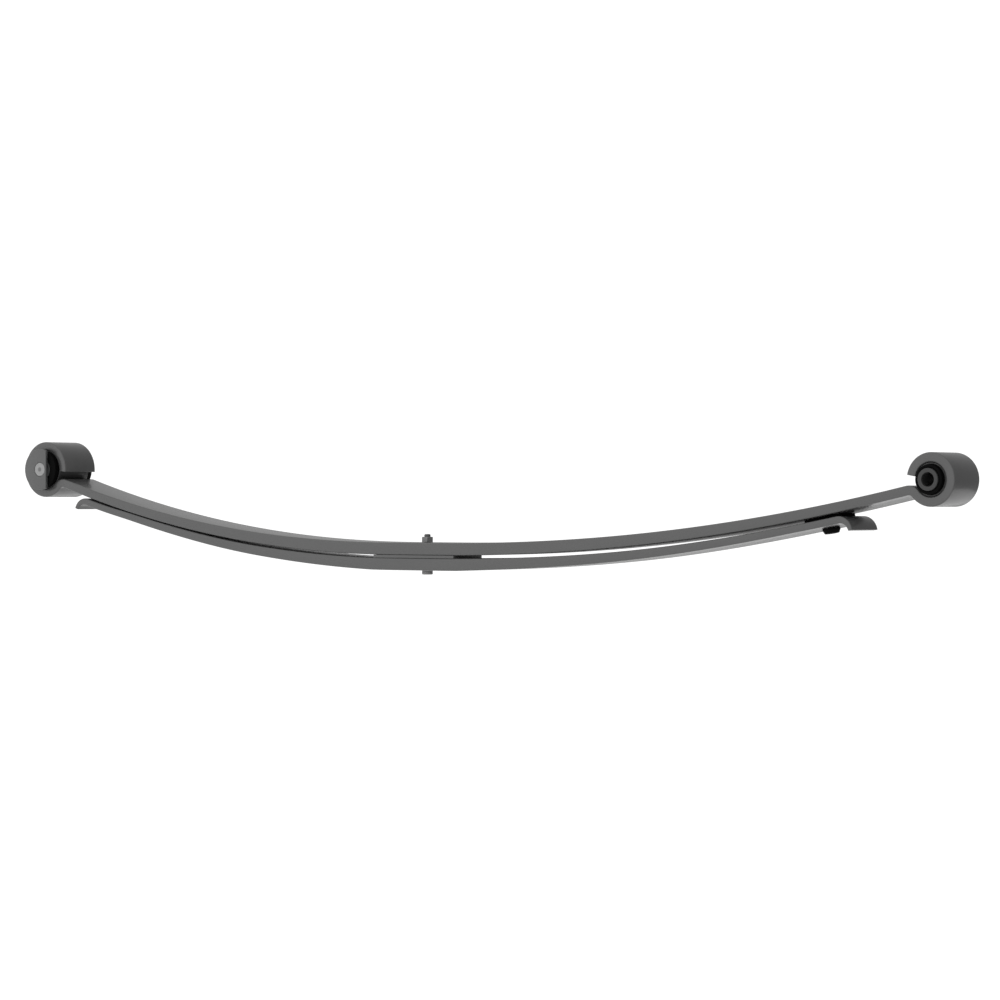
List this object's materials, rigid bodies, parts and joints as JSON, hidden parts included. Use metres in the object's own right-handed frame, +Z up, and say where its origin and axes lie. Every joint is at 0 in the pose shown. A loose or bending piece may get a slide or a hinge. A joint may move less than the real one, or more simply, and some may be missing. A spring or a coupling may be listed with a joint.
{
  "type": "leaf spring",
  "caption": "Long two-leaf parabolic suspension spring with rubber-bushed rolled eyes at both ends, a centre bolt and rubber tip pads between the leaves.",
  "frame": {"origin": "on the centre bolt's axis, in the underside of the second leaf, where the axle seat bears", "axes": "+X along the spring towards the rear eye, +Y across the leaves, +Z up, away from the axle seat"},
  "size_m": [1.702, 0.096, 0.2046],
  "materials": {
    "leaf_paint": "satin grey corrosion-protection paint over spring steel",
    "bolt_steel": "dark phosphated steel fastener",
    "pad_rubber": "matt black moulded rubber",
    "bush_rubber": "matt black moulded rubber",
    "sleeve_steel": "dark coated steel tube",
    "pin_steel": "bright turned steel"
  },
  "bodies": {
    "spring": {"main_leaf": "leaf_paint", "second_leaf": "leaf_paint", "centre_spacer": "leaf_paint", "centre_bolt": "bolt_steel", "centre_nut": "bolt_steel", "front_tip_pad": "pad_rubber", "rear_tip_pad": "pad_rubber", "front_bush_outer_sleeve": "sleeve_steel", "front_bush_rubber": "bush_rubber", "rear_bush_outer_sleeve": "sleeve_steel", "rear_bush_rubber": "bush_rubber"},
    "front_pin_set": {"front_bush_inner_sleeve": "sleeve_steel", "front_near_plate": "leaf_paint", "front_far_plate": "leaf_paint", "front_pin": "pin_steel"},
    "rear_sleeve": {"rear_bush_inner_sleeve": "sleeve_steel"}
  },
  "joints": [
    {"name": "front_bush_twist", "type": "hinge", "parent": "spring", "child": "front_pin_set", "pos_m": [-0.753, 0, 0.1535], "axis": [0, 1, 0], "range_deg": [-20, 20], "stiffness_Nm_per_rad": 90},
    {"name": "rear_bush_twist", "type": "hinge", "parent": "spring", "child": "rear_sleeve", "pos_m": [0.868, 0, 0.1315], "axis": [0, 1, 0], "range_deg": [-20, 20], "stiffness_Nm_per_rad": 60}
  ]
}
